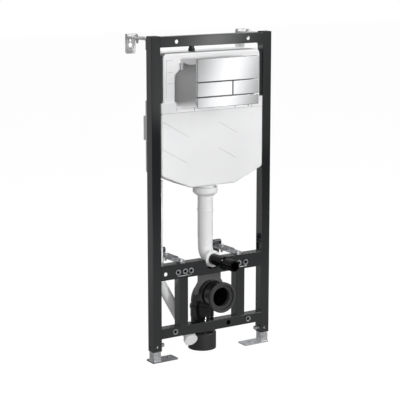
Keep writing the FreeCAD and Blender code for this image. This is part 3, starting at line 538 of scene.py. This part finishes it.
floor_mat = bpy.data.materials.new("studio_floor")
floor_mat.use_nodes = True
nt = floor_mat.node_tree
nt.nodes.clear()
out = nt.nodes.new("ShaderNodeOutputMaterial")
add = nt.nodes.new("ShaderNodeAddShader")
dif = nt.nodes.new("ShaderNodeBsdfDiffuse")
dif.inputs["Color"].default_value = (0.06, 0.06, 0.06, 1)
emi = nt.nodes.new("ShaderNodeEmission")
emi.inputs["Strength"].default_value = 0.97
nt.links.new(dif.outputs[0], add.inputs[0])
nt.links.new(emi.outputs[0], add.inputs[1])
nt.links.new(add.outputs[0], out.inputs["Surface"])
R = 14.0
floor = stage_mesh("floor", [(-R, -R, 0), (R, -R, 0), (R, R, 0), (-R, R, 0)], [(0, 1, 2, 3)], floor_mat)
floor.visible_diffuse = False
floor.visible_glossy = False

# light thrown back by the studio floor: strongest near the object
glow_mat = bpy.data.materials.new("floor_bounce")
glow_mat.use_nodes = True
nt = glow_mat.node_tree
nt.nodes.clear()
out = nt.nodes.new("ShaderNodeOutputMaterial")
emi = nt.nodes.new("ShaderNodeEmission")
tcg = nt.nodes.new("ShaderNodeTexCoord")
far = nt.nodes.new("ShaderNodeVectorMath")
far.operation = "LENGTH"
nt.links.new(tcg.outputs["Object"], far.inputs[0])
reach = nt.nodes.new("ShaderNodeMapRange")
reach.inputs["From Max"].default_value = 4.0
nt.links.new(far.outputs["Value"], reach.inputs["Value"])
fall = nt.nodes.new("ShaderNodeValToRGB")
e = fall.color_ramp.elements
stops = [(0.0, 0.25), (0.10, 0.25), (0.22, 0.25), (0.45, 0.19), (0.75, 0.105), (1.0, 0.085)]
while len(e) < len(stops):
    e.new(0.5)
for el, (at, c) in zip(e, stops):
    el.position = at
    el.color = (c, c, c, 1)
nt.links.new(reach.outputs["Result"], fall.inputs["Fac"])
where = nt.nodes.new("ShaderNodeSeparateXYZ")
nt.links.new(tcg.outputs["Object"], where.inputs[0])
rear = nt.nodes.new("ShaderNodeMapRange")
rear.inputs["From Min"].default_value = 0.35
rear.inputs["From Max"].default_value = 1.1
nt.links.new(where.outputs["Y"], rear.inputs["Value"])
both = nt.nodes.new("ShaderNodeMix")
both.data_type = "RGBA"
nt.links.new(rear.outputs["Result"], both.inputs[0])
nt.links.new(fall.outputs["Color"], both.inputs[6])
both.inputs[7].default_value = (0.36, 0.36, 0.36, 1)
nt.links.new(both.outputs[2], emi.inputs["Color"])
nt.links.new(emi.outputs[0], out.inputs["Surface"])
bounce = stage_mesh("floor_bounce", [(-R, -R, -0.004), (R, -R, -0.004), (R, R, -0.004), (-R, R, -0.004)], [(0, 1, 2, 3)], glow_mat)
bounce.visible_camera = False
bounce.visible_shadow = False

world = bpy.data.worlds.new("studio")
scene.world = world
world.use_nodes = True
wt = world.node_tree
wt.nodes.clear()
wout = wt.nodes.new("ShaderNodeOutputWorld")
wmix = wt.nodes.new("ShaderNodeMixShader")
path = wt.nodes.new("ShaderNodeLightPath")
env = wt.nodes.new("ShaderNodeBackground")
white = wt.nodes.new("ShaderNodeBackground")
white.inputs["Color"].default_value = (1, 1, 1, 1)
white.inputs["Strength"].default_value = 1.0
# the room: pale backdrop behind, dim in front and overhead
tc = wt.nodes.new("ShaderNodeTexCoord")
sep = wt.nodes.new("ShaderNodeSeparateXYZ")
wt.links.new(tc.outputs["Generated"], sep.inputs[0])


def wramp(sock, lo, hi, stops):
    mr = wt.nodes.new("ShaderNodeMapRange")
    mr.inputs["From Min"].default_value = lo
    mr.inputs["From Max"].default_value = hi
    wt.links.new(sock, mr.inputs["Value"])
    r = wt.nodes.new("ShaderNodeValToRGB")
    r.color_ramp.interpolation = "EASE"
    e = r.color_ramp.elements
    while len(e) < len(stops):
        e.new(0.5)
    for el, (p, c) in zip(e, stops):
        el.position = p
        el.color = (c, c, c, 1)
    wt.links.new(mr.outputs["Result"], r.inputs["Fac"])
    return r.outputs["Color"]


height = wramp(sep.outputs["Z"], -1.0, 1.0, [(0.0, 0.10), (0.49, 0.10), (0.53, 0.13), (1.0, 0.14)])
depth = wramp(sep.outputs["Y"], -1.0, 1.0, [(0.0, 0.0), (0.52, 0.0), (0.80, 1.0), (1.0, 1.0)])
mixw = wt.nodes.new("ShaderNodeMix")
mixw.data_type = "RGBA"
wt.links.new(depth, mixw.inputs[0])
wt.links.new(height, mixw.inputs[6])
near = wt.nodes.new("ShaderNodeMath")
near.operation = "MAXIMUM"
wt.links.new(sep.outputs["Y"], near.inputs[0])
near.inputs[1].default_value = 0.05
turn = wt.nodes.new("ShaderNodeMath")
turn.operation = "DIVIDE"
wt.links.new(sep.outputs["X"], turn.inputs[0])
wt.links.new(near.outputs[0], turn.inputs[1])
sweep = wramp(turn.outputs[0], -1.0, 1.0, [(0.0, 0.42), (0.70, 0.42), (0.78, 0.36), (0.82, 0.39), (0.87, 0.45), (1.0, 0.45)])
wt.links.new(sweep, mixw.inputs[7])
wt.links.new(mixw.outputs[2], env.inputs["Color"])
env.inputs["Strength"].default_value = 1.0
wt.links.new(path.outputs["Is Camera Ray"], wmix.inputs["Fac"])
wt.links.new(env.outputs[0], wmix.inputs[1])
wt.links.new(white.outputs[0], wmix.inputs[2])
wt.links.new(wmix.outputs[0], wout.inputs["Surface"])


def area(name, loc, target, sx, sy, watts, seen=False):
    d = bpy.data.lights.new(name, "AREA")
    d.shape = "RECTANGLE"
    d.size, d.size_y = sx, sy
    d.energy = watts
    o = bpy.data.objects.new(name, d)
    scene.collection.objects.link(o)
    o.location = loc
    o.rotation_euler = (Vector(target) - Vector(loc)).to_track_quat("-Z", "Y").to_euler()
    o.visible_camera = seen
    return o


def quiet(o):
    """Lights surfaces without showing as a reflection."""
    o.visible_glossy = False
    return o


area("front_light", (0.05, -4.2, 1.32), (0, 0, 0.75), 0.35, 0.35, 84.0)
area("key_light", (3.4, -2.7, 2.5), (0, 0, 0.75), 1.9, 1.9, 66.0)
quiet(area("top_light", (-0.2, -0.3, 3.6), (0, 0, 0.6), 1.6, 1.2, 60.0))
quiet(area("left_fill", (-2.6, -2.6, 1.5), (0, 0, 0.8), 1.6, 1.6, 26.0))
quiet(area("low_fill", (-0.45, -0.9, 0.06), (-0.06, 0, 0.06), 0.4, 0.1, 1.2))

# tall soft strip that the mirror plate and the top rail look into
strip_mat = bpy.data.materials.new("soft_strip")
strip_mat.use_nodes = True
nt = strip_mat.node_tree
nt.nodes.clear()
out = nt.nodes.new("ShaderNodeOutputMaterial")
emi = nt.nodes.new("ShaderNodeEmission")
tcs = nt.nodes.new("ShaderNodeTexCoord")
sp = nt.nodes.new("ShaderNodeSeparateXYZ")
nt.links.new(tcs.outputs["Object"], sp.inputs[0])


def smath(op, a, b=None):
    n = nt.nodes.new("ShaderNodeMath")
    n.operation = op
    for i, q in enumerate((a, b)):
        if q is None:
            continue
        if isinstance(q, (int, float)):
            n.inputs[i].default_value = q
        else:
            nt.links.new(q, n.inputs[i])
    return n.outputs[0]


def bell(sock, sigma):
    return smath("EXPONENT", smath("MULTIPLY", smath("POWER", smath("DIVIDE", sock, sigma), 2.0), -0.5))


def ease(sock, lo, hi):
    n = nt.nodes.new("ShaderNodeMapRange")
    n.interpolation_type = "SMOOTHSTEP"
    n.inputs["From Min"].default_value = lo
    n.inputs["From Max"].default_value = hi
    nt.links.new(sock, n.inputs["Value"])
    return n.outputs["Result"]


core = smath("MULTIPLY", bell(sp.outputs["X"], 0.078), 1.05)
wide = smath("MULTIPLY", bell(smath("ADD", sp.outputs["X"], 0.08), 0.30), 0.28)
glow = smath("ADD", core, wide)
glow = smath("MULTIPLY", glow, ease(sp.outputs["Z"], -0.36, -0.20))
glow = smath("MULTIPLY", glow, smath("SUBTRACT", 1.0, ease(sp.outputs["Z"], 0.34, 0.54)))
nt.links.new(glow, emi.inputs["Strength"])
clear = nt.nodes.new("ShaderNodeBsdfTransparent")
plus = nt.nodes.new("ShaderNodeAddShader")
nt.links.new(emi.outputs[0], plus.inputs[0])
nt.links.new(clear.outputs[0], plus.inputs[1])
nt.links.new(plus.outputs[0], out.inputs["Surface"])
strip = stage_mesh("soft_strip", [(-0.8, 0, -0.6), (0.8, 0, -0.6), (0.8, 0, 0.6), (-0.8, 0, 0.6)], [(0, 1, 2, 3)], strip_mat)
strip.location = (0.938, -1.5, 0.84)
strip.rotation_euler = (0, math.radians(14), math.radians(33))
strip.visible_camera = False
strip.visible_shadow = False

# soft card lying at the front left, which the plate looks into from the right
card_mat = bpy.data.materials.new("soft_card")
card_mat.use_nodes = True
nt = card_mat.node_tree
nt.nodes.clear()
out = nt.nodes.new("ShaderNodeOutputMaterial")
emi = nt.nodes.new("ShaderNodeEmission")
tcs = nt.nodes.new("ShaderNodeTexCoord")
sp = nt.nodes.new("ShaderNodeSeparateXYZ")
nt.links.new(tcs.outputs["Object"], sp.inputs[0])
glow = smath("MULTIPLY", bell(sp.outputs["X"], 0.50), bell(sp.outputs["Y"], 0.60))
nt.links.new(smath("MULTIPLY", glow, 0.8), emi.inputs["Strength"])
clear = nt.nodes.new("ShaderNodeBsdfTransparent")
plus = nt.nodes.new("ShaderNodeAddShader")
nt.links.new(emi.outputs[0], plus.inputs[0])
nt.links.new(clear.outputs[0], plus.inputs[1])
nt.links.new(plus.outputs[0], out.inputs["Surface"])
card = stage_mesh("soft_card", [(-1.6, -1.8, 0), (1.6, -1.8, 0), (1.6, 1.8, 0), (-1.6, 1.8, 0)], [(0, 1, 2, 3)], card_mat)
card.location = (-1.6, -1.5, -0.002)
card.visible_camera = False
card.visible_diffuse = False
card.visible_shadow = False

# ---------------------------------------------------------------- camera
cam_data = bpy.data.cameras.new("camera")
cam = bpy.data.objects.new("camera", cam_data)
scene.collection.objects.link(cam)
cam_data.sensor_fit = "HORIZONTAL"
cam_data.sensor_width = 36.0
cam_data.lens = 123.09
cam.location = (-2.6239, -4.0150, 1.5082)
yaw, pitch = math.radians(-32.783), math.radians(11.161)
fwd = Vector((-math.sin(yaw) * math.cos(pitch), math.cos(yaw) * math.cos(pitch), -math.sin(pitch)))
cam.rotation_euler = fwd.to_track_quat("-Z", "Y").to_euler()
scene.camera = cam

bpy.context.view_layer.update()
